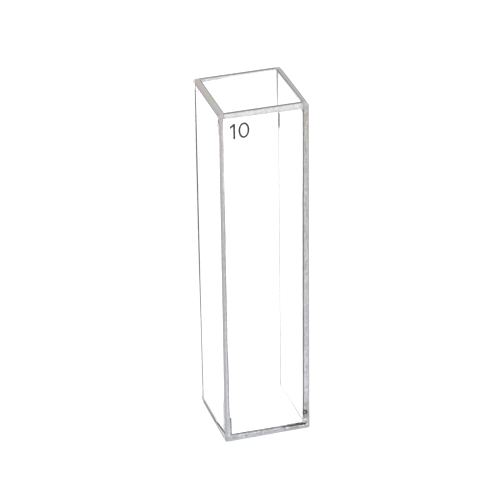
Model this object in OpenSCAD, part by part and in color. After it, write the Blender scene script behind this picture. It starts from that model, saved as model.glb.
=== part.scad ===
// Square glass cell for liquids, open at the top.
// Two clear windows and two side walls stand round a base plate and are fused to it.
// The outer edges of the finished block are ground to one bevel, which runs on from plate
// to plate, and a finer one is ground round the inside of the mouth.
// Origin: centre of the underside. +X right, +Y from the front window to the back one, +Z up.

/* [Inside] */
// Light path: clear depth from window to window
light_path = 10; // [5:0.5:20]
// Clear width from wall to wall
inner_w = 10; // [4:0.5:20]

/* [Plates] */
// Overall height of the cell
cell_h = 48; // [20:1:60]
// Thickness of the front and back windows
window_t = 0.9; // [0.8:0.05:2]
// Thickness of the left and right walls
wall_t = 0.9; // [0.8:0.05:2]
// Thickness of the base plate
base_t = 0.9; // [0.8:0.05:3]

/* [Ground edges] */
// Width of the bevel along every outer edge
outer_bevel = 0.25; // [0.1:0.05:0.4]
// Width of the bevel round the inside of the mouth
mouth_bevel = 0.1; // [0.05:0.05:0.3]

/* [Hidden] */
outer_w = inner_w + 2 * wall_t;
outer_d = light_path + 2 * window_t;
window_y = light_path / 2 + window_t / 2;
wall_x = inner_w / 2 + wall_t / 2;
wall_h = cell_h - base_t;
over = 1;
window_tint = [0.84, 0.90, 0.92, 0.45];
wall_tint = [0.70, 0.74, 0.75, 0.60];

// Rectangle about the origin with its four corners cut off at 45 degrees.
module cut_rectangle(w, h, cut) {
    x = w / 2;
    y = h / 2;
    polygon([
        [cut - x, -y], [x - cut, -y], [x, cut - y], [x, y - cut],
        [x - cut, y], [cut - x, y], [-x, y - cut], [-x, cut - y]
    ]);
}

// The ground outside: a prism along each axis, so that all twelve edges are bevelled
// and meet in mitred corners.
module ground_block() {
    intersection() {
        linear_extrude(cell_h)
            cut_rectangle(outer_w, outer_d, outer_bevel);
        translate([0, outer_d / 2, cell_h / 2])
            rotate([90, 0, 0])
                linear_extrude(outer_d)
                    cut_rectangle(outer_w, cell_h, outer_bevel);
        translate([-outer_w / 2, 0, cell_h / 2])
            rotate([90, 0, 90])
                linear_extrude(outer_w)
                    cut_rectangle(outer_d, cell_h, outer_bevel);
    }
}

// Upright wedge whose width is gap at the foot of the mouth bevel and opens at 45 degrees.
module flare(gap, run) {
    half = gap / 2;
    rise = mouth_bevel + over;
    rotate([90, 0, 0])
        linear_extrude(run, center = true)
            polygon([[-half, 0], [half, 0], [half + rise, rise], [-half - rise, rise]]);
}

// The cut that bevels the inside of the mouth on all four sides.
module mouth_flare() {
    reach = 2 * (mouth_bevel + over);
    translate([0, 0, cell_h - mouth_bevel])
        intersection() {
            flare(inner_w, light_path + reach);
            rotate([0, 0, 90])
                flare(light_path, inner_w + reach);
        }
}

// A flat plate of the given size, centred on the given place, with the share of the ground
// bevels that falls on it.
module plate(size, middle) {
    difference() {
        intersection() {
            translate(middle)
                cube(size, center = true);
            ground_block();
        }
        mouth_flare();
    }
}

// A window covers the full width and height. side is -1 at the front and 1 at the back.
module window(side) {
    color(window_tint)
        plate([outer_w, window_t, cell_h], [0, side * window_y, cell_h / 2]);
}

// A wall stands on the base between the windows. side is -1 on the left and 1 on the right.
module wall(side) {
    color(wall_tint)
        plate([wall_t, light_path, wall_h], [side * wall_x, 0, base_t + wall_h / 2]);
}

module front_window() {
    window(-1);
}

module back_window() {
    window(1);
}

module left_wall() {
    wall(-1);
}

module right_wall() {
    wall(1);
}

// The base lies between the windows and runs under both walls.
module base_plate() {
    color(wall_tint)
        plate([outer_w, light_path, base_t], [0, 0, base_t / 2]);
}

front_window();
back_window();
left_wall();
right_wall();
base_plate();
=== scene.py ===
"""A tall square cell of clear glass plates, with ground edges and a printed number."""
import math
from functools import cached_property, partial, reduce

import bmesh
import bpy
import numpy as np
from mathutils import Matrix, Vector

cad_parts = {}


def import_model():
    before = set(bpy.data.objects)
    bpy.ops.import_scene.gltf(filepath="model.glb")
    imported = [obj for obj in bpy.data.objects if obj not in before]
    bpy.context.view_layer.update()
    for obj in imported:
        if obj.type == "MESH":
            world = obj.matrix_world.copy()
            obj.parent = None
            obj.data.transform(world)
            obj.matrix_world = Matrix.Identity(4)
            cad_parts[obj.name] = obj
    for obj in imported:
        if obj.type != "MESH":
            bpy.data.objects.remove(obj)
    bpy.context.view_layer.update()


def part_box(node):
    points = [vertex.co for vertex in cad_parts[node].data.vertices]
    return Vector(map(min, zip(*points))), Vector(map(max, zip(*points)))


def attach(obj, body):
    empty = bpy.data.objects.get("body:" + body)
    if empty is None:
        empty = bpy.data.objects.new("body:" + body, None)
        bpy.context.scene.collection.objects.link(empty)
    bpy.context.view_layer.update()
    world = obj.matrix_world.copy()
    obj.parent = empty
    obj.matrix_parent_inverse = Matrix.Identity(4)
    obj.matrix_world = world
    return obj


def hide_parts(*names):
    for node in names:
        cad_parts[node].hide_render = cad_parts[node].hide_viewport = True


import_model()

MM = 0.001

# Sizes of the plates, taken from the model's parts.
window_lo, window_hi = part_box("front_window")
wall_lo, wall_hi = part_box("left_wall")
base_lo, base_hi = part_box("base_plate")
WIDTH = window_hi.x - window_lo.x
DEPTH = -2 * window_lo.y
HEIGHT = window_hi.z
WINDOW_T = window_hi.y - window_lo.y
WALL_T = wall_hi.x - wall_lo.x
BASE_T = base_hi.z - base_lo.z
INNER_W = WIDTH - 2 * WALL_T
INNER_D = DEPTH - 2 * WINDOW_T

# Ground edges, as in the solids.
OUTER_BEVEL = 0.25 * MM
MOUTH_BEVEL = 0.1 * MM
# How far a face stands back from the plate it is fused to, so that two never lie in one plane.
SEAM = 0.004 * MM
# How far the grinding of the rim runs down the outside of the walls and of the windows, and the
# strip of face it lies on.
WALL_DROP = 0.38 * MM
WINDOW_DROP = 0.6 * MM
RIM_STRIP = 1.0 * MM
# How high over the base the slanting joint of the left wall crosses to the front window.
SLANT_TOP = 0.47 * MM

# The place of each axis of a plate's section in (x, y, z): across, up and through the plate.
ALONG_Y = (0, 2, 1)
ALONG_X = (1, 2, 0)
ALONG_Z = (0, 1, 2)


# ---------------------------------------------------------------- finishes

# The index of the glass, and how much of a lamp's light a clear and a ground face let by.
GLASS_IOR = 1.46
CLEAR_PASS = (0.93, 0.93, 0.93)
GROUND_PASS = (0.6, 0.6, 0.6)
# The gloss of a face in the open, of one fused to another plate, and of one fused with flaws.
OPEN_GLOSS = 0.5
FUSED_GLOSS = 0.0
FLAWED_GLOSS = 0.1
# The fine bump of a ground face: how strong it is, and about how far its pits lie apart.
GRAIN_STRENGTH = 0.4
GRAIN_SIZE = 0.08 * MM
# Clouds hardly leave this range.
CLOUD_LOW, CLOUD_HIGH = 0.3, 0.7


class Finish:
    """A glass finish in the making. Its patterns are laid out in the cell's own metres."""

    def __init__(self, name):
        self.material = bpy.data.materials.new(name)
        self.material.use_nodes = True
        self.tree = self.material.node_tree
        self.tree.nodes.clear()
        self.place = self.node("ShaderNodeTexCoord").outputs["Object"]
        split = self.node("ShaderNodeSeparateXYZ")
        self.feed(split.inputs[0], self.place)
        self.x, self.y, self.z = split.outputs

    @cached_property
    def right(self):
        """1 on the right half of the cell and 0 on the left."""
        return self.math("GREATER_THAN", self.x, 0.0)

    @cached_property
    def left(self):
        """1 on the left half of the cell and 0 on the right."""
        return self.math("LESS_THAN", self.x, 0.0)

    @cached_property
    def front(self):
        """1 on the front half of the cell and 0 on the back."""
        return self.math("LESS_THAN", self.y, 0.0)

    @cached_property
    def back(self):
        """1 on the back half of the cell and 0 on the front."""
        return self.math("GREATER_THAN", self.y, 0.0)

    @cached_property
    def height(self):
        """The height over the foot, as a share of the cell's."""
        return self.math("DIVIDE", self.z, HEIGHT)

    @cached_property
    def below(self):
        """How far a place lies below the cell's top."""
        return self.less(HEIGHT, self.z)

    @cached_property
    def into_wall(self):
        """How far a place lies outside the opening, into the side wall."""
        return self.less(self.math("ABSOLUTE", self.x), INNER_W / 2)

    def node(self, kind, **settings):
        """A new node of a kind, with its settings."""
        one = self.tree.nodes.new(kind)
        for key, value in settings.items():
            setattr(one, key, value)
        return one

    def feed(self, socket, value):
        """Links a socket, or sets a plain number or colour on it."""
        if isinstance(value, bpy.types.NodeSocket):
            self.tree.links.new(value, socket)
        elif isinstance(value, tuple) and socket.type == "RGBA":
            socket.default_value = (*value, 1.0)
        else:
            socket.default_value = value

    def math(self, operation, a, b=0.0):
        """One step of sums on a and b."""
        one = self.node("ShaderNodeMath", operation=operation)
        self.feed(one.inputs[0], a)
        self.feed(one.inputs[1], b)
        return one.outputs[0]

    def plus(self, a, b):
        """The sum a + b."""
        return self.math("ADD", a, b)

    def less(self, a, b):
        """The difference a - b."""
        return self.math("SUBTRACT", a, b)

    def both(self, *masks):
        """The product of masks."""
        return reduce(partial(self.math, "MULTIPLY"), masks)

    def either(self, *masks):
        """The greatest of masks."""
        return reduce(partial(self.math, "MAXIMUM"), masks)

    def other(self, mask):
        """1 where the mask is 0 and 0 where it is 1."""
        return self.less(1.0, mask)

    def scaled(self, value, low, high, to_low=0.0, to_high=1.0, kind="SMOOTHSTEP"):
        """Carries low..high over to to_low..to_high, easing in and out, and holds beyond both."""
        one = self.node("ShaderNodeMapRange", interpolation_type=kind)
        for socket, number in zip(one.inputs[:5], (value, low, high, to_low, to_high)):
            self.feed(socket, number)
        return one.outputs[0]

    def straight(self, value, low, high, to_low=0.0, to_high=1.0):
        """As scaled, but evenly from end to end rather than easing in and out."""
        return self.scaled(value, low, high, to_low, to_high, "LINEAR")

    def fade(self, value, start, end):
        """1 up to the start, falling to 0 at the end."""
        return self.scaled(value, start, end, 1.0, 0.0)

    def line(self, value, middle, half, soft):
        """1 within half of the middle, falling to 0 over soft on either side."""
        away = self.math("ABSOLUTE", self.less(value, middle))
        return self.fade(away, half, self.plus(half, soft))

    def noise(self, size, detail=3.0, stretch=(1, 1, 1)):
        """Clouds about size across."""
        mapping = self.node("ShaderNodeMapping")
        self.feed(mapping.inputs["Vector"], self.place)
        mapping.inputs["Scale"].default_value = [1 / (size * s) for s in stretch]
        clouds = self.node("ShaderNodeTexNoise")
        clouds.inputs["Scale"].default_value = 1.0
        clouds.inputs["Detail"].default_value = detail
        self.feed(clouds.inputs["Vector"], mapping.outputs[0])
        return clouds.outputs["Fac"]

    def wander(self, size, reach, detail=3.0):
        """A number that wanders from -reach to reach, in clouds about size across."""
        return self.scaled(self.noise(size, detail), CLOUD_LOW, CLOUD_HIGH, -reach, reach)

    def mix(self, mask, a, b):
        """Colour a where the mask is 0 and b where it is 1."""
        one = self.node("ShaderNodeMix", data_type="RGBA")
        self.feed(one.inputs[0], mask)
        self.feed(one.inputs[6], a)
        self.feed(one.inputs[7], b)
        return one.outputs[2]

    def blend(self, mask, a, b):
        """The number a where the mask is 0 and b where it is 1."""
        one = self.node("ShaderNodeMix", data_type="FLOAT")
        for socket, value in zip((one.inputs[0], one.inputs[2], one.inputs[3]), (mask, a, b)):
            self.feed(socket, value)
        return one.outputs[0]

    def sides(self, left, right):
        """One number on the left half of the cell and another on the right."""
        return self.blend(self.right, left, right)

    def shade(self, colour, factor):
        """A colour made darker or lighter by a factor."""
        one = self.node("ShaderNodeVectorMath", operation="SCALE")
        self.feed(one.inputs[0], colour)
        self.feed(one.inputs["Scale"], factor)
        return one.outputs[0]

    def shaded(self, colour, mask, factor):
        """A colour made darker by a factor where the mask is 1."""
        return self.shade(colour, self.scaled(mask, 0, 1, 1.0, factor))

    def grained(self, colour, size, swing, stretch=(1, 1, 1)):
        """A colour under a grain that makes it darker and lighter by up to the swing."""
        clouds = self.noise(size, stretch=stretch)
        factor = self.straight(clouds, CLOUD_LOW, CLOUD_HIGH, 1 - swing, 1 + swing)
        return self.shade(colour, factor)

    def specks(self, size):
        """1 in small specks here and there, and 0 between them."""
        return self.scaled(self.noise(size, 1.0), 0.63, 0.7)

    def distance(self, point):
        """How far a place on the cell is from a point, in metres."""
        one = self.node("ShaderNodeVectorMath", operation="DISTANCE")
        self.feed(one.inputs[0], self.place)
        one.inputs[1].default_value = point
        return one.outputs["Value"]

    def ramp(self, value, *stops):
        """Colours at places from 0 to 1, with straight blends between them."""
        one = self.node("ShaderNodeValToRGB")
        points = one.color_ramp.elements
        while len(points) < len(stops):
            points.new(1.0)
        for point, (position, colour) in zip(points, stops):
            point.position = position
            point.color = (*colour, 1.0)
        self.feed(one.inputs[0], value)
        return one.outputs[0]

    def glass(self, colour, roughness, ground, gloss=OPEN_GLOSS, grain=None):
        """Finishes the material: clear glass where ground is 0, and ground glass where it is 1.

        The colour and roughness are those of the ground glass. Lamps shine through both, with a
        loss; grain is the height of a fine bump, in metres."""
        shader = self.node("ShaderNodeBsdfPrincipled")
        if ground == 1.0:
            passed = GROUND_PASS
            self.feed(shader.inputs["Base Color"], colour)
            shader.inputs["Roughness"].default_value = roughness
        else:
            passed = self.mix(ground, CLEAR_PASS, GROUND_PASS)
            self.feed(shader.inputs["Base Color"], self.mix(ground, WHITE, colour))
            self.feed(shader.inputs["Roughness"], self.both(roughness, ground))
            self.feed(shader.inputs["Transmission Weight"], self.other(ground))
        shader.inputs["IOR"].default_value = GLASS_IOR
        shader.inputs["Specular IOR Level"].default_value = gloss
        if grain:
            bump = self.node("ShaderNodeBump")
            bump.inputs["Strength"].default_value = GRAIN_STRENGTH
            bump.inputs["Distance"].default_value = grain
            self.feed(bump.inputs["Height"], self.noise(GRAIN_SIZE, 2.0))
            self.feed(shader.inputs["Normal"], bump.outputs[0])
        passing = self.node("ShaderNodeBsdfTransparent")
        self.feed(passing.inputs["Color"], passed)
        path = self.node("ShaderNodeLightPath")
        mix = self.node("ShaderNodeMixShader")
        self.feed(mix.inputs["Fac"], path.outputs["Is Shadow Ray"])
        self.feed(mix.inputs[1], shader.outputs[0])
        self.feed(mix.inputs[2], passing.outputs[0])
        self.feed(self.node("ShaderNodeOutputMaterial").inputs["Surface"], mix.outputs[0])
        return self.material


def tone(level, tint=(1.0, 1.0, 1.0)):
    """A grey as bright as level, from 0 to 255 on the screen, with a tint."""
    linear = ((level / 255 + 0.055) / 1.055) ** 2.4
    return tuple(linear * t for t in tint)


def share(level):
    """A plain share from 0 to 1, in the form a ramp takes."""
    return (level,) * 3


WHITE = (1.0, 1.0, 1.0)
ROSY = (1.07, 0.97, 1.0)
PALE_ROSY = (1.04, 0.98, 1.0)
PINK = (1.08, 0.95, 0.94)
WARM = (1.05, 1.02, 0.9)
COOL = (0.97, 0.99, 1.05)
LILAC = (0.99, 0.97, 1.06)
# The grey of the fine joints.
JOINT_DARK = tone(24)


def polished_glass():
    """Polished faces: clear glass with the faintest bloom here and there."""
    f = Finish("polished_glass")
    bloom = f.scaled(f.noise(7 * MM), 0.5, 0.7, 0.0, 0.02)
    return f.glass(tone(235), roughness=0.3, ground=bloom)


def rim_grey(f):
    """The ground grey of the rim: olive and rosy clouds from back to front, finely grained."""
    forward = f.straight(f.y, DEPTH / 2, -DEPTH / 2)
    along = f.plus(f.wander(2.2 * MM, reach=0.08, detail=2.0), forward)
    colour = f.ramp(along, (0.04, tone(196, WARM)), (0.14, tone(199, PINK)),
                    (0.26, tone(200, ROSY)), (0.38, tone(198, WARM)), (0.6, tone(196, WARM)),
                    (0.74, tone(203)), (0.92, tone(200)), (1.0, tone(204, PALE_ROSY)))
    return f.grained(colour, size=0.16 * MM, swing=0.08)


def off_back_corner(f):
    """0 over the back left corner, which has lost its grey outside a slanting cut, and 1 elsewhere.

    Towards the foot the pale part starts further to the front."""
    start = f.straight(f.z, 0.0, HEIGHT, INNER_D / 2 - 0.6 * MM, INNER_D / 2)
    behind = f.less(f.y, start)
    from_left = f.plus(f.x, WIDTH / 2)
    cut = f.less(from_left, f.both(behind, 0.31))
    return f.either(f.scaled(cut, 0.0, 0.05 * MM), f.fade(behind, 0.0, 0.08 * MM))


def ground_rim():
    """Tops of the side walls, down to the foot of the bevel outside, between two darker lines.

    The outer line of the left wall lies below the bevel, and that of the right wall on it. The
    mouth's edge of the right wall is pale, and more of it to the front."""
    f = Finish("ground_rim")
    pale = f.both(f.right, f.straight(f.y, INNER_D / 2, -INNER_D / 2, 0.03 * MM, 0.13 * MM))
    mouth_line = f.line(f.less(f.into_wall, pale), middle=0.06 * MM, half=0.09 * MM, soft=0.04 * MM)
    mouth_line = f.both(mouth_line, f.sides(left=0.62, right=0.45))
    foot_line = f.line(f.below, middle=f.sides(left=WALL_DROP - 0.06 * MM, right=0.14 * MM),
                       half=f.sides(left=0.07 * MM, right=0.12 * MM), soft=0.02 * MM)
    foot_line = f.both(foot_line, f.sides(left=0.6, right=0.8))
    dark = f.both(f.other(f.either(mouth_line, foot_line)), f.sides(left=1.0, right=0.93))
    grey = f.mix(f.both(f.right, 0.7), rim_grey(f), tone(196))
    colour = f.mix(f.math("LESS_THAN", f.into_wall, pale), f.shade(grey, dark), WHITE)
    ground = f.fade(f.below, WALL_DROP - 0.01 * MM, WALL_DROP + 0.02 * MM)
    return f.glass(colour, roughness=0.5, ground=ground, grain=0.01 * MM)


def window_top():
    """Tops of the windows and the ground edge outside them.

    The flat is dark with painted shade and the bevel pale and hazy; the haze ends on the face in
    a greyer line. The corners are as grey as the side walls; the back left one is white at its
    tip."""
    f = Finish("window_top")
    half = INNER_W / 2
    # The ground edge runs further down the outside to the right in front, and to the left behind.
    front_run = f.straight(f.x, -half, half, WINDOW_DROP - 0.17 * MM, WINDOW_DROP + 0.06 * MM)
    back_run = f.straight(f.x, -half, half * 0.5, WINDOW_DROP, OUTER_BEVEL)
    run = f.plus(f.blend(f.back, front_run, back_run), f.wander(1.2 * MM, reach=0.03 * MM))
    left_over = f.less(run, f.below)
    ground = f.scaled(left_over, -0.03 * MM, 0.01 * MM)
    foot_line = f.line(left_over, middle=0.07 * MM, half=0.05 * MM, soft=0.05 * MM)
    mottle = f.scaled(f.noise(0.26 * MM, 3.0, (1.5, 1, 1)), 0.4, 0.6)
    pale = f.shaded(f.mix(mottle, tone(206, COOL), tone(234)), foot_line, 0.85)
    # Painted shade, in a dark strip along the front window's mouth and the back one's outside.
    outward = f.less(DEPTH / 2, f.math("ABSOLUTE", f.y))
    front_strip = f.scaled(outward, OUTER_BEVEL + 0.1 * MM, OUTER_BEVEL + 0.2 * MM)
    back_strip = f.both(f.scaled(outward, OUTER_BEVEL - 0.06 * MM, OUTER_BEVEL - 0.02 * MM),
                        f.fade(outward, OUTER_BEVEL + 0.38 * MM, OUTER_BEVEL + 0.52 * MM))
    flat = f.blend(f.back, front_strip, back_strip)
    back_shade_tone = f.mix(f.scaled(f.x, -half, half), tone(152), tone(128))
    flat_shade_tone = f.mix(f.back, tone(128), back_shade_tone)
    # In front the grey of the corners starts a little way into the walls.
    inner_end = f.both(f.straight(f.x, -half, half, 0.22 * MM, 0.08 * MM), f.other(f.back))
    inward = f.less(f.math("ABSOLUTE", f.x), f.plus(half, inner_end))
    corner = f.scaled(inward, -0.04 * MM, 0.02 * MM)
    corner_line = f.line(inward, middle=0.06 * MM, half=0.05 * MM, soft=0.04 * MM)
    colour = f.mix(flat, pale, f.grained(flat_shade_tone, size=0.3 * MM, swing=0.06))
    colour = f.mix(corner, colour, f.shaded(rim_grey(f), corner_line, 0.75))
    solid = f.both(ground, f.either(flat, corner, 0.75))
    return f.glass(f.mix(off_back_corner(f), WHITE, colour), roughness=0.4, ground=solid)


def window_inside():
    """Inner faces of the windows: clear, but for a short dark tick at the front one's left foot."""
    f = Finish("window_inside")
    side = f.line(f.x, middle=-INNER_W / 2 + 0.05 * MM, half=0.065 * MM, soft=0.04 * MM)
    tall = f.line(f.z, middle=BASE_T + 1.2 * MM, half=1.2 * MM, soft=0.2 * MM)
    colour = f.grained(tone(30), size=0.4 * MM, swing=0.2)
    return f.glass(colour, roughness=0.4, ground=f.both(side, tall, f.front))


def wall_outside():
    """Outer faces of the side walls: clear, with two fine dark joints on the left one.

    One runs up near the back window, leaning back and growing thicker; the other leaves the base
    and slants up to the front. Between the two the base joint shows as a low grey lip. On the right
    a short dark end of the back joint shows near the top."""
    f = Finish("wall_outside")
    lean = f.straight(f.z, 0.0, 30 * MM, 4.5 * MM, 4.83 * MM)
    thick = f.both(f.scaled(f.z, 14 * MM, 34 * MM, 0.2 * MM, 0.35 * MM),
                   f.scaled(f.z, 43 * MM, 47 * MM, 1.0, 0.8))
    upright = f.both(f.line(f.y, middle=lean, half=thick, soft=0.06 * MM),
                     f.scaled(f.z, 8 * MM, 16 * MM, 0.9, 1.0))
    slant = f.straight(f.y, -2.0 * MM, -INNER_D / 2, BASE_T + 0.05 * MM, BASE_T + SLANT_TOP)
    slanting = f.both(f.line(f.z, middle=slant, half=0.17 * MM, soft=0.05 * MM),
                      f.scaled(f.y, -1.9 * MM, -2.5 * MM))
    dash = f.both(f.scaled(f.y, 4.5 * MM, 4.58 * MM),
                  f.line(f.z, middle=0.853 * HEIGHT, half=0.9 * MM, soft=0.3 * MM))
    lip = f.both(f.fade(f.z, BASE_T + 0.1 * MM, BASE_T + 0.16 * MM),
                 f.line(f.y, middle=1.5 * MM, half=2.2 * MM, soft=0.7 * MM), f.left)
    colour = f.mix(lip, f.grained(JOINT_DARK, size=0.5 * MM, swing=0.3), tone(196))
    joints = f.sides(left=f.either(upright, slanting), right=dash)
    return f.glass(colour, roughness=0.6, ground=f.either(joints, lip))


def wall_end():
    """Ground front ends of the side walls, seen through the window that is fused on.

    A fringe along the inner edge has fused clear, and is wider to the top; a darker line borders
    it. The right end has a clear spot over the base joint and a small trapped bubble."""
    f = Finish("wall_end")
    belly = f.line(f.height, middle=0.44, half=0.1, soft=0.14)
    left_fringe = f.plus(f.straight(f.height, 0.0, 1.0, 0.1 * MM, 0.28 * MM),
                         f.scaled(belly, 0, 1, 0.0, 0.055 * MM))
    right_fringe = f.plus(f.straight(f.height, 0.0, 1.0, 0.03 * MM, 0.16 * MM),
                          f.scaled(f.height, 0.7, 0.8, 0.0, 0.037 * MM))
    right_fringe = f.plus(right_fringe, f.scaled(f.height, 0.86, 0.98, 0.0, 0.02 * MM))
    fringe = f.plus(f.sides(left=left_fringe, right=right_fringe),
                    f.wander(1.5 * MM, reach=0.01 * MM))
    past = f.less(f.into_wall, fringe)
    left_tone = f.ramp(f.height, (0.02, tone(202, COOL)), (0.1, tone(216, COOL)),
                       (0.4, tone(221, COOL)), (0.7, tone(213)), (0.8, tone(209)),
                       (0.97, tone(202, ROSY)))
    right_tone = f.ramp(f.height, (0.02, tone(204)), (0.035, tone(162)), (0.062, tone(194)),
                        (0.073, tone(178)), (0.09, tone(218, LILAC)), (0.16, tone(222, LILAC)),
                        (0.28, tone(206, LILAC)), (0.6, tone(199)), (0.85, tone(194)),
                        (0.97, tone(186, WARM)))
    colour = f.shade(f.mix(f.right, left_tone, right_tone), f.sides(left=0.98, right=0.95))
    colour = f.grained(colour, size=0.34 * MM, swing=0.25, stretch=(1, 1, 1.4))
    specks = f.both(f.specks(0.28 * MM), f.right, f.scaled(f.z, 9 * MM, 11 * MM))
    colour = f.mix(specks, colour, tone(235))
    half = f.sides(left=0.07 * MM, right=f.scaled(f.height, 0.55, 0.8, 0.075 * MM, 0.06 * MM))
    border = f.line(past, middle=f.plus(half, 0.01 * MM), half=half, soft=0.04 * MM)
    left_depth = f.both(f.scaled(f.height, 0.68, 0.8, 0.48, 0.0), f.scaled(f.height, 0.03, 0.09))
    right_depth = f.both(f.scaled(f.height, 0.8, 0.92, 0.86, 0.7),
                         f.scaled(f.height, 0.03, 0.05, 0.35, 1.0))
    colour = f.shade(colour, f.other(f.both(border, f.sides(left=left_depth, right=right_depth))))
    spot = f.both(f.line(f.z, middle=BASE_T + 0.24 * MM, half=0.07 * MM, soft=0.04 * MM),
                  f.line(f.x, middle=INNER_W / 2 + 0.38 * MM, half=0.2 * MM, soft=0.08 * MM))
    bubble = f.distance((INNER_W / 2 + 0.32 * MM, -INNER_D / 2, 2.3 * MM))
    ring = f.line(bubble, middle=0.24 * MM, half=0.11 * MM, soft=0.05 * MM)
    colour = f.mix(ring, f.mix(spot, colour, tone(246)), tone(0))
    ground = f.scaled(past, -0.04 * MM, 0.02 * MM)
    return f.glass(colour, roughness=0.8, ground=f.either(ground, ring), gloss=FLAWED_GLOSS)


def wall_back():
    """Back ends of the side walls: fused clear, but for a dark joint down the outer half.

    The left joint leans out with height and fades towards the foot. The right one is full at the
    foot, at a short dash near the top and at the rim, where it is wider, and faint between."""
    f = Finish("wall_back")
    middle = f.straight(f.height, 0.0, 1.0, 0.38 * MM, 0.52 * MM)
    half = f.scaled(f.height, 0.18, 0.35, 0.12 * MM, 0.22 * MM)
    left = f.both(f.line(f.into_wall, middle=middle, half=half, soft=0.06 * MM),
                  f.scaled(f.height, 0.12, 0.34))
    strength = f.ramp(f.height, (0.02, WHITE), (0.04, share(0.8)), (0.3, share(0.72)),
                      (0.45, share(0.7)), (0.6, share(0.6)), (0.825, share(0.6)), (0.835, WHITE),
                      (0.87, WHITE), (0.885, share(0.7)), (0.96, WHITE))
    clear = f.scaled(f.height, 0.9, 0.92, 0.4 * MM, 0.2 * MM)
    right = f.both(f.scaled(f.less(f.into_wall, clear), 0.0, 0.05 * MM), strength)
    colour = f.grained(tone(20), size=0.5 * MM, swing=0.3)
    return f.glass(colour, roughness=0.8, ground=f.sides(left=left, right=right), gloss=FUSED_GLOSS)


def wall_foot():
    """Lower ends of the side walls, fused to the base.

    On the left a dark line slants inwards to the front, and spreads into a grey joint at the back;
    on the right a thin line along the outer edge fades towards the back."""
    f = Finish("wall_foot")
    forward = f.straight(f.y, INNER_D / 2, -INNER_D / 2)
    wander = f.scaled(f.noise(0.8 * MM), 0.35, 0.65, -0.06 * MM, 0.06 * MM)
    outward = f.less(f.plus(f.math("ABSOLUTE", f.x), wander), INNER_W / 2)
    slant = f.straight(forward, 0.76, 1.0, WALL_T - 0.05 * MM, 0.35 * MM)
    slanting = f.both(f.line(outward, middle=slant, half=0.32 * MM, soft=0.06 * MM),
                      f.scaled(forward, 0.62, 0.7))
    left = f.both(f.either(slanting, f.fade(forward, 0.6, 0.7)), off_back_corner(f))
    left_tone = f.ramp(forward, (0.0, tone(215)), (0.3, tone(200)), (0.6, tone(170)),
                       (0.72, tone(10)), (1.0, tone(10)))
    right = f.scaled(outward, 0.24 * MM, 0.34 * MM)
    right_tone = f.ramp(forward, (0.0, tone(200)), (0.4, tone(175)), (0.85, tone(140)),
                        (1.0, tone(80)))
    colour = f.grained(f.mix(f.right, left_tone, right_tone), size=0.4 * MM, swing=0.1)
    return f.glass(colour, roughness=0.5, ground=f.sides(left=left, right=right))


def window_edge():
    """Side edges of the windows: fused clear, apart from the ground rim of the front one.

    Two joints of the left wall run on over them: the slanting one over the front window's edge and
    the upright one, narrowly and up to near the top, over the back window's."""
    f = Finish("window_edge")
    rim = f.both(f.front, f.fade(f.below, WALL_DROP - 0.02 * MM, WALL_DROP + 0.02 * MM))
    slant = f.straight(f.y, -INNER_D / 2, -DEPTH / 2, BASE_T + SLANT_TOP, BASE_T + 0.6 * MM)
    slanting = f.both(f.front, f.line(f.z, middle=slant, half=0.15 * MM, soft=0.05 * MM))
    narrow = f.both(f.line(f.y, middle=INNER_D / 2, half=0.1 * MM, soft=0.05 * MM),
                    f.scaled(f.z, 10 * MM, 30 * MM), f.fade(f.z, 37 * MM, 47 * MM))
    joint = f.both(f.left, f.either(slanting, narrow))
    colour = f.mix(joint, rim_grey(f), JOINT_DARK)
    return f.glass(colour, roughness=0.5, ground=f.either(rim, joint))


def bevel_grey():
    """Ground bevels down the corners and round the foot; those up the back are but hazy.

    The front ones end on the outside in a darker line. The foot is darker, in painted shade.
    Towards the front left corner the foot is pale above a thin dark edge of painted shade by the
    floor, and the right half of the front foot and corner is a little darker, in painted shade."""
    f = Finish("bevel_grey")
    # Painted shade: the foot is darker than the rest.
    colour = f.ramp(f.height, (0.0, tone(188, COOL)), (0.02, tone(203, COOL)), (0.5, tone(203)),
                    (1.0, tone(202, ROSY)))
    outer = f.fade(f.less(WIDTH / 2, f.math("ABSOLUTE", f.x)), 0.06 * MM, 0.11 * MM)
    upper = f.either(f.scaled(f.height, 0.95, 0.75), f.right)
    low = f.scaled(f.height, 0.05, f.sides(left=0.45, right=0.2))
    colour = f.shaded(colour, f.both(outer, upper, low), 0.68)
    left_foot = f.both(f.scaled(f.x, -4 * MM, -5 * MM), f.scaled(f.y, -1.0 * MM, -2.0 * MM),
                       f.math("GREATER_THAN", f.y, -INNER_D / 2),
                       f.math("LESS_THAN", f.z, OUTER_BEVEL))
    # Painted shade: a thin dark edge where the foot meets the floor, under a pale band.
    pale_over_floor_shade = f.mix(f.scaled(f.z, 0.1 * MM, 0.14 * MM), tone(112), tone(250))
    colour = f.mix(left_foot, colour, pale_over_floor_shade)
    # Painted shade: the lower right of the front foot and corner is darker.
    right_foot_shade = f.both(f.scaled(f.x, 1 * MM, 5 * MM), f.fade(f.z, 1 * MM, 4 * MM))
    colour = f.shaded(colour, right_foot_shade, 0.76)
    ground = f.scaled(f.y, INNER_D / 2 + 0.35 * MM, INNER_D / 2 + 0.45 * MM, 1.0, 0.3)
    before_back = f.math("LESS_THAN", f.y, INNER_D / 2)
    ground = f.both(ground, f.either(before_back, f.scaled(f.z, 0.2 * MM, 0.25 * MM)))
    grey_part = off_back_corner(f)
    top = f.scaled(f.z, HEIGHT - OUTER_BEVEL, HEIGHT - OUTER_BEVEL + 0.02 * MM)
    pale_top = f.both(top, f.other(grey_part))
    colour = f.mix(grey_part, WHITE, f.grained(colour, size=0.24 * MM, swing=0.14))
    return f.glass(colour, roughness=0.5, ground=f.either(f.both(ground, grey_part), pale_top))


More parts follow.
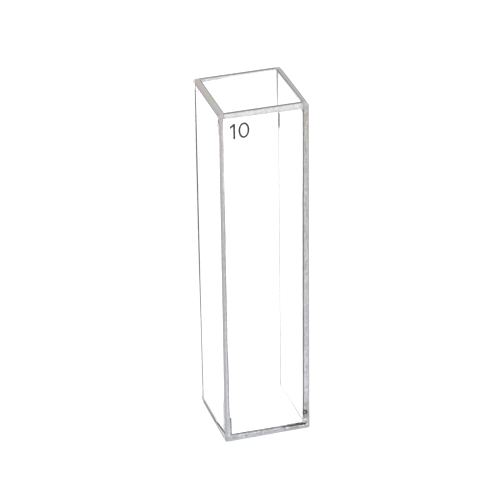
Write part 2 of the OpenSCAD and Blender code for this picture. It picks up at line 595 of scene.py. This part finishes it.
def base_end():
    """Ground front edge of the base, seen through the window.

    The joint above it wanders and turns from grey to nearly black to the right, over a broken
    white gap that starts near the middle."""
    f = Finish("base_end")
    to_right = f.scaled(f.x, 0.2 * MM, 4.4 * MM)
    wander = f.both(f.wander(0.36 * MM, reach=0.1 * MM), f.scaled(to_right, 0, 1, 0.6, 1.0))
    lower = f.straight(f.x, -INNER_W / 2, INNER_W / 2, -0.05 * MM, 0.19 * MM)
    up = f.plus(f.plus(f.z, wander), lower)
    thick = f.scaled(to_right, 0, 1, 0.09 * MM, 0.14 * MM)
    joint = f.both(f.line(up, middle=BASE_T - 0.15 * MM, half=thick, soft=0.05 * MM),
                   f.line(f.x, middle=0.21 * MM, half=INNER_W / 2 + 0.22 * MM, soft=0.1 * MM))
    along = f.straight(f.x, -WIDTH / 2, WIDTH / 2)
    colour = f.ramp(along, (0.0, tone(208, COOL)), (0.5, tone(214, COOL)), (0.75, tone(202)),
                    (1.0, tone(190, WARM)))
    # Painted shade: darker down towards the foot by the floor, and a little lighter above.
    colour = f.shade(colour, f.scaled(f.z, OUTER_BEVEL, 0.55 * MM, 0.8, 1.06))
    colour = f.grained(colour, size=0.34 * MM, swing=0.3, stretch=(1.3, 1, 1))
    colour = f.mix(f.specks(0.28 * MM), colour, WHITE)
    gap = f.line(up, middle=BASE_T - 0.42 * MM, half=0.075 * MM, soft=0.04 * MM)
    broken = f.either(f.scaled(f.noise(0.5 * MM, 2.0), 0.4, 0.54),
                      f.scaled(f.x, 4.8 * MM, 5.0 * MM))
    colour = f.mix(f.both(gap, broken, f.scaled(f.x, -0.6 * MM, 2.4 * MM)), colour, WHITE)
    thin_places = f.both(f.scaled(f.noise(0.4 * MM, 2.0), 0.5, 0.6),
                         f.fade(f.x, 2.2 * MM, 3.0 * MM))
    dark = f.mix(thin_places, f.mix(to_right, tone(96, COOL), tone(0)), tone(122))
    return f.glass(f.mix(joint, colour, dark), roughness=0.8, ground=1.0, gloss=FUSED_GLOSS)


def base_side():
    """Side edges of the base: grey at the back and white to the front, over a thin dark foot.

    Between the two a dark line climbs from the middle of the edge to the joint."""
    f = Finish("base_side")
    wander = f.wander(1.0 * MM, reach=0.06 * MM)
    rear = f.scaled(f.plus(f.y, f.both(wander, 5.0)), -1.8 * MM, -1.0 * MM)
    climb = f.straight(f.y, -0.8 * MM, -2.6 * MM, 0.64 * MM, BASE_T + 0.08 * MM)
    line = f.both(f.line(f.less(f.z, climb), middle=wander, half=0.16 * MM, soft=0.06 * MM),
                  f.line(f.y, middle=-1.8 * MM, half=0.9 * MM, soft=0.4 * MM))
    grey = f.grained(tone(150), size=0.9 * MM, swing=0.15)
    colour = f.mix(f.scaled(f.y, -1.8 * MM, -1.0 * MM), tone(250), grey)
    dark_foot = f.both(f.fade(f.z, OUTER_BEVEL + 0.18 * MM, OUTER_BEVEL + 0.22 * MM),
                       f.scaled(f.y, -1.0 * MM, -1.6 * MM))
    colour = f.mix(line, f.mix(dark_foot, colour, tone(60)), tone(20))
    white = f.scaled(f.y, -1.6 * MM, -2.4 * MM)
    foot = f.fade(f.z, OUTER_BEVEL + 0.08 * MM, OUTER_BEVEL + 0.14 * MM)
    ground = f.both(f.either(rear, white, line, foot), off_back_corner(f))
    return f.glass(colour, roughness=0.5, ground=ground)


def base_back():
    """Back edge of the base: an all but clear joint."""
    f = Finish("base_back")
    cloud = f.scaled(f.noise(1.5 * MM), 0.35, 0.65)
    colour = f.mix(cloud, tone(248), tone(255))
    return f.glass(colour, roughness=0.4, ground=f.scaled(cloud, 0, 1, 0.3, 0.0))


def printed_ink():
    """Fired-on black ink, a little thin in places, just under the face of the glass."""
    f = Finish("printed_ink")
    colour = f.mix(f.scaled(f.noise(0.3 * MM), 0.35, 0.65), tone(8), tone(30))
    return f.glass(colour, roughness=0.8, ground=1.0, gloss=FUSED_GLOSS)


POLISHED = polished_glass()
RIM = ground_rim()
TOP = window_top()
INSIDE = window_inside()
OUTSIDE = wall_outside()
END = wall_end()
BACK = wall_back()
FOOT = wall_foot()
EDGE = window_edge()
BEVEL = bevel_grey()
BASE_END = base_end()
BASE_SIDE = base_side()
BASE_BACK = base_back()
INK = printed_ink()


# ---------------------------------------------------------------- plates

def section(across, up, cut=0.0):
    """Eight corners of a rectangle with its corners cut off, anticlockwise from the lower left.

    across and up are its (low, high) sides; each corner is cut by the same length on both."""
    (a0, a1), (b0, b1) = across, up
    return np.array([
        (a0 + cut, b0), (a1 - cut, b0), (a1, b0 + cut), (a1, b1 - cut),
        (a1 - cut, b1), (a0 + cut, b1), (a0, b1 - cut), (a0, b0 + cut),
    ])


# Which side of the section each of its eight edges lies on.
SIDES = ("low_b", "corner", "high_a", "corner", "high_b", "corner", "low_a", "corner")
# Points nearer to each other than this are one point.
MERGE = 1e-8


def loft(name, rings, axes, bands, ends, replaced):
    """A plate as a grid: the corners of its section run one way, its depths the other.

    rings is a list of (depth, section); point i * 8 + j is corner j of ring i, and face (i, j)
    joins corners j and j + 1 of rings i and i + 1. bands gives for each step between two rings the
    finish of each side; ends gives the finishes of the two flat ends."""
    corners = len(SIDES)
    count = len(rings) * corners
    points = np.zeros((len(rings), corners, 3))
    points[:, :, axes[:2]] = np.array([outline for _, outline in rings])
    points[:, :, axes[2]] = np.array([depth for depth, _ in rings])[:, None]
    i, j = np.meshgrid(np.arange(len(rings) - 1), np.arange(corners), indexing="ij")
    here, along = i * corners + j, i * corners + (j + 1) % corners
    quads = np.stack([here, along, along + corners, here + corners], axis=-1).reshape(-1, 4)
    caps = [tuple(range(corners))[::-1], tuple(range(count - corners, count))]
    finishes = [band[side] for band in bands for side in SIDES] + list(ends)
    faces = [tuple(q) for q in quads.tolist()] + caps
    return new_piece(name, points.reshape(-1, 3), faces, finishes, replaced)


def new_piece(name, points, faces, finishes, replaced=None):
    """A closed mesh that rides on the cell, with one finish for each face.

    Doubled points are merged, faces without area go, and the rest are turned outwards."""
    slots = list(dict.fromkeys(finishes))
    mesh = bpy.data.meshes.new(name)
    mesh.from_pydata([tuple(p) for p in points], [], faces)
    for material in slots:
        mesh.materials.append(material)
    mesh.polygons.foreach_set("material_index", [slots.index(m) for m in finishes])
    work = bmesh.new()
    work.from_mesh(mesh)
    bmesh.ops.remove_doubles(work, verts=work.verts, dist=MERGE)
    bmesh.ops.dissolve_degenerate(work, edges=work.edges, dist=MERGE)
    bmesh.ops.recalc_face_normals(work, faces=work.faces)
    work.to_mesh(mesh)
    work.free()
    mesh.update()
    piece = bpy.data.objects.new(name, mesh)
    bpy.context.scene.collection.objects.link(piece)
    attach(piece, "root")
    if replaced:
        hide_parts(replaced)
    return piece


def every(finish, **others):
    """The same finish on each side of a band, apart from the sides named."""
    band = {side: finish for side in SIDES}
    band.update(others)
    return band


def window(name, side, replaced):
    """A window: full width and height, bevelled outside and along the mouth.

    The depth of a ring runs in from the outer face. The outer bevel goes all round; the corners are
    cut from its inner end on, and the mouth's bevel lowers the top of the last ring."""
    half_w = WIDTH / 2
    outside = side * DEPTH / 2

    def ring(depth, inset, cut=0.0, top=None):
        top = inset if top is None else top
        outline = section((inset - half_w, half_w - inset), (inset, HEIGHT - top), cut)
        return outside - side * depth, outline

    rings = [
        ring(0, OUTER_BEVEL, top=RIM_STRIP),
        ring(0, OUTER_BEVEL),
        ring(OUTER_BEVEL / 2, OUTER_BEVEL / 2),
        ring(OUTER_BEVEL, 0, OUTER_BEVEL),
        ring(WINDOW_T - MOUTH_BEVEL, 0, OUTER_BEVEL),
        ring(WINDOW_T - SEAM, 0, OUTER_BEVEL, top=MOUTH_BEVEL),
    ]
    strip = every(POLISHED, high_b=TOP)
    bevel = every(BEVEL, high_b=TOP)
    edge = every(BEVEL, low_a=EDGE, high_a=EDGE, high_b=TOP)
    bands = [strip, bevel, bevel, edge, edge]
    return loft(name, rings, ALONG_Y, bands, (POLISHED, INSIDE), replaced)


def wall(name, side, replaced):
    """A side wall: it stands on the base between the windows, its ends and top ground.

    The depth of a ring runs in from the outer face; only the top edges are bevelled."""
    half = INNER_D / 2 - SEAM
    outside = side * WIDTH / 2

    def ring(depth, top):
        outline = section((-half, half), (BASE_T + SEAM, HEIGHT - top))
        return outside - side * depth, outline

    rings = [ring(0, RIM_STRIP), ring(0, OUTER_BEVEL), ring(OUTER_BEVEL, 0),
             ring(WALL_T - MOUTH_BEVEL, 0), ring(WALL_T, MOUTH_BEVEL)]
    edge = every(POLISHED, low_a=END, high_a=BACK, high_b=RIM, low_b=FOOT)
    return loft(name, rings, ALONG_X, [edge] * 4, (OUTSIDE, POLISHED), replaced)


def base(name, replaced):
    """The base: it lies between the windows and runs under both walls, bevelled at the foot."""
    half_w, half_d = WIDTH / 2, INNER_D / 2 - SEAM

    def ring(height, inset):
        return height, section((inset - half_w, half_w - inset), (-half_d, half_d))

    rings = [ring(0, OUTER_BEVEL), ring(OUTER_BEVEL, 0), ring(BASE_T, 0)]
    bevel = every(BEVEL, low_b=BASE_END, high_b=BASE_BACK)
    edge = every(BASE_SIDE, low_b=BASE_END, high_b=BASE_BACK)
    return loft(name, rings, ALONG_Z, [bevel, edge], (POLISHED, POLISHED), replaced)


pieces = [
    window("front_glass", -1, "front_window"),
    window("back_glass", 1, "back_window"),
    wall("left_glass", -1, "left_wall"),
    wall("right_glass", 1, "right_wall"),
    base("base_glass", "base_plate"),
]


# ---------------------------------------------------------------- printed number

FIGURE_H = 2.15 * MM
NOUGHT_HALF_W = 0.72 * MM
NOUGHT_POINTS = 48
STROKE = 0.255 * MM
FLAG = 0.42 * MM
FLAG_FALL = 0.36 * MM
INK_T = 0.012 * MM
# The feet of the figures: the middle of the 1's stroke and the left edge of the 0.
FIGURE_FOOT = 44.55 * MM
FIGURE_ONE = (-4.0 * MM, FIGURE_FOOT)
FIGURE_NOUGHT = (-3.45 * MM, FIGURE_FOOT)


def extruded(name, outer, inner=None):
    """A fired-on figure: each outline lies once just under the window's face and once deeper.

    Loop number 2n is outline n under the face and 2n + 1 the deeper one; point k of a loop is
    joined with point k + 1, and the last one with the first. With an inner outline of as many
    points the figure is the ring between the two."""
    outlines = np.stack([outer] if inner is None else [outer, inner])
    loops, count = 2 * len(outlines), len(outer)
    points = np.zeros((loops, count, 3))
    points[:, :, [0, 2]] = np.repeat(outlines, 2, axis=0)
    points[:, :, 1] = -DEPTH / 2 + np.tile([SEAM, SEAM + INK_T], len(outlines))[:, None]
    pairs = np.array([(0, 1)] if inner is None else [(0, 1), (1, 3), (3, 2), (2, 0)]) * count
    k = np.arange(count)
    after = (k + 1) % count
    low, high = pairs[:, :1], pairs[:, 1:]
    quads = np.stack([low + k, low + after, high + after, high + k], axis=-1).reshape(-1, 4)
    faces = quads.tolist()
    if inner is None:
        faces += [list(range(count)), list(range(count, 2 * count))]
    return new_piece(name, points.reshape(-1, 3), faces, [INK] * len(faces))


def figure_one(foot):
    """A plain 1: an upright stroke with a short flag that falls to the left of its head.

    The outline runs up the right side, narrows at the head, goes round the flag's tip, which is
    cut upright 1.25 strokes long, and meets the stroke again 1.5 strokes below the head."""
    half = STROKE / 2
    tip, shoulder = -half - FLAG, FIGURE_H - FLAG_FALL
    outline = np.array([
        (-half, 0), (half, 0), (half, FIGURE_H), (-half * 0.6, FIGURE_H),
        (tip, shoulder), (tip, shoulder - 1.25 * STROKE), (-half, FIGURE_H - 1.5 * STROKE),
    ])
    return extruded("figure_one", outline + foot)


def figure_nought(foot):
    """A plain 0: the ring between two ellipses about one middle, one stroke apart."""
    angle = np.linspace(0, 2 * math.pi, NOUGHT_POINTS, endpoint=False)
    turn = np.stack([np.cos(angle), np.sin(angle)], axis=-1)
    half = np.array([NOUGHT_HALF_W, FIGURE_H / 2])
    middle = half + foot
    return extruded("figure_nought", middle + turn * half, middle + turn * (half - STROKE))


for figure in (figure_one(FIGURE_ONE), figure_nought(FIGURE_NOUGHT)):
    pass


# ---------------------------------------------------------------- floor, light and camera

SKY_LIGHT = 0.45
FLOOR_SIDE = 4.0
FLOOR_GREY = 0.8
FLOOR_GLOW = 0.62
# How far the floor lies below the foot.
FLOOR_GAP = 0.01 * MM
# The side of both lamps, and the place in metres and the watts of each.
LAMP_SIDE = 0.25
LAMPS = {"key": ((-0.25, -0.25, 0.45), 1.0), "fill": ((0.35, -0.2, 0.3), 0.5)}


def seen_straight(tree):
    """1 for a ray from the camera, from a mirror or through glass, and 0 for the rest."""
    path = tree.nodes.new("ShaderNodeLightPath")
    total = path.outputs["Is Camera Ray"]
    for kind in ("Is Glossy Ray", "Is Transmission Ray"):
        add = tree.nodes.new("ShaderNodeMath")
        add.operation = "MAXIMUM"
        tree.links.new(total, add.inputs[0])
        tree.links.new(path.outputs[kind], add.inputs[1])
        total = add.outputs[0]
    return total


def world(level):
    """A plain even sky that looks white and lights the object at the given level."""
    sky = bpy.data.worlds.new("studio")
    sky.use_nodes = True
    tree = sky.node_tree
    tree.nodes.clear()
    mix = tree.nodes.new("ShaderNodeMixShader")
    tree.links.new(seen_straight(tree), mix.inputs["Fac"])
    for socket, strength in zip(mix.inputs[1:], (level, 1.0)):
        light = tree.nodes.new("ShaderNodeBackground")
        light.inputs["Color"].default_value = (1, 1, 1, 1)
        light.inputs["Strength"].default_value = strength
        tree.links.new(light.outputs[0], socket)
    out = tree.nodes.new("ShaderNodeOutputWorld")
    tree.links.new(mix.outputs[0], out.inputs["Surface"])
    bpy.context.scene.world = sky


def floor(size):
    """A pale floor: its glow makes it white, and its lit share keeps the object's shadow."""
    half = size / 2
    mesh = bpy.data.meshes.new("floor")
    corners = [(-half, -half), (half, -half), (half, half), (-half, half)]
    mesh.from_pydata([(x, y, -FLOOR_GAP) for x, y in corners], [], [(0, 1, 2, 3)])
    material = bpy.data.materials.new("pale_floor")
    material.use_nodes = True
    tree = material.node_tree
    tree.nodes.clear()
    lit = tree.nodes.new("ShaderNodeBsdfDiffuse")
    lit.inputs["Color"].default_value = (FLOOR_GREY, FLOOR_GREY, FLOOR_GREY, 1)
    glow = tree.nodes.new("ShaderNodeEmission")
    scale = tree.nodes.new("ShaderNodeMath")
    scale.operation = "MULTIPLY"
    scale.inputs[1].default_value = FLOOR_GLOW
    tree.links.new(seen_straight(tree), scale.inputs[0])
    tree.links.new(scale.outputs[0], glow.inputs["Strength"])
    both = tree.nodes.new("ShaderNodeAddShader")
    out = tree.nodes.new("ShaderNodeOutputMaterial")
    tree.links.new(lit.outputs[0], both.inputs[0])
    tree.links.new(glow.outputs[0], both.inputs[1])
    tree.links.new(both.outputs[0], out.inputs["Surface"])
    mesh.materials.append(material)
    plane = bpy.data.objects.new("floor", mesh)
    bpy.context.scene.collection.objects.link(plane)


def lamp(name, place, watts):
    """A soft square lamp that looks at the middle of the cell."""
    data = bpy.data.lights.new(name, "AREA")
    data.size = LAMP_SIDE
    data.energy = watts
    one = bpy.data.objects.new(name, data)
    one.location = place
    aim = Vector((0, 0, HEIGHT / 2)) - Vector(place)
    one.rotation_euler = aim.to_track_quat("-Z", "Y").to_euler()
    bpy.context.scene.collection.objects.link(one)


# The picture's side and the lens, in pixels; the camera's turns in degrees, its distance from the
# point it looks at, and how far it is slid sideways and up from there.
FRAME_SIDE = 502
FOCAL_PIXELS = 2745
SENSOR_SIDE = 36.0
AZIMUTH, ELEVATION, ROLL = -17.0, 28.70, -0.79
DISTANCE = 359 * MM
TARGET = Vector((0, 0, 22.5 * MM))
SLIDE = (-0.24 * MM, 2.11 * MM)


def camera():
    """A long lens, a little turned about its own axis."""
    az, el, roll = map(math.radians, (AZIMUTH, ELEVATION, ROLL))
    back = Vector((math.sin(az) * math.cos(el), -math.cos(az) * math.cos(el), math.sin(el)))
    right = (-back).cross(Vector((0, 0, 1))).normalized()
    up = right.cross(-back)
    x_axis = right * math.cos(roll) + up * math.sin(roll)
    y_axis = -right * math.sin(roll) + up * math.cos(roll)
    data = bpy.data.cameras.new("camera")
    data.sensor_width = SENSOR_SIDE
    data.lens = FOCAL_PIXELS / FRAME_SIDE * SENSOR_SIDE
    data.clip_start, data.clip_end = 0.01, 10.0
    one = bpy.data.objects.new("camera", data)
    spin = Matrix((x_axis, y_axis, back)).transposed().to_4x4()
    place = TARGET + back * DISTANCE + x_axis * SLIDE[0] + y_axis * SLIDE[1]
    one.matrix_world = Matrix.Translation(place) @ spin
    bpy.context.scene.collection.objects.link(one)
    bpy.context.scene.camera = one


world(SKY_LIGHT)
floor(FLOOR_SIDE)
for lamp_name, (place, watts) in LAMPS.items():
    lamp(lamp_name, place, watts)
camera()

# Light crosses many faces of glass before it is out of the cell.
GLASS_BOUNCES = 40
MIRROR_BOUNCES = 24
scene = bpy.context.scene
scene.view_settings.view_transform = "Standard"
scene.cycles.max_bounces = GLASS_BOUNCES
scene.cycles.transmission_bounces = GLASS_BOUNCES
scene.cycles.glossy_bounces = MIRROR_BOUNCES
scene.cycles.transparent_max_bounces = GLASS_BOUNCES
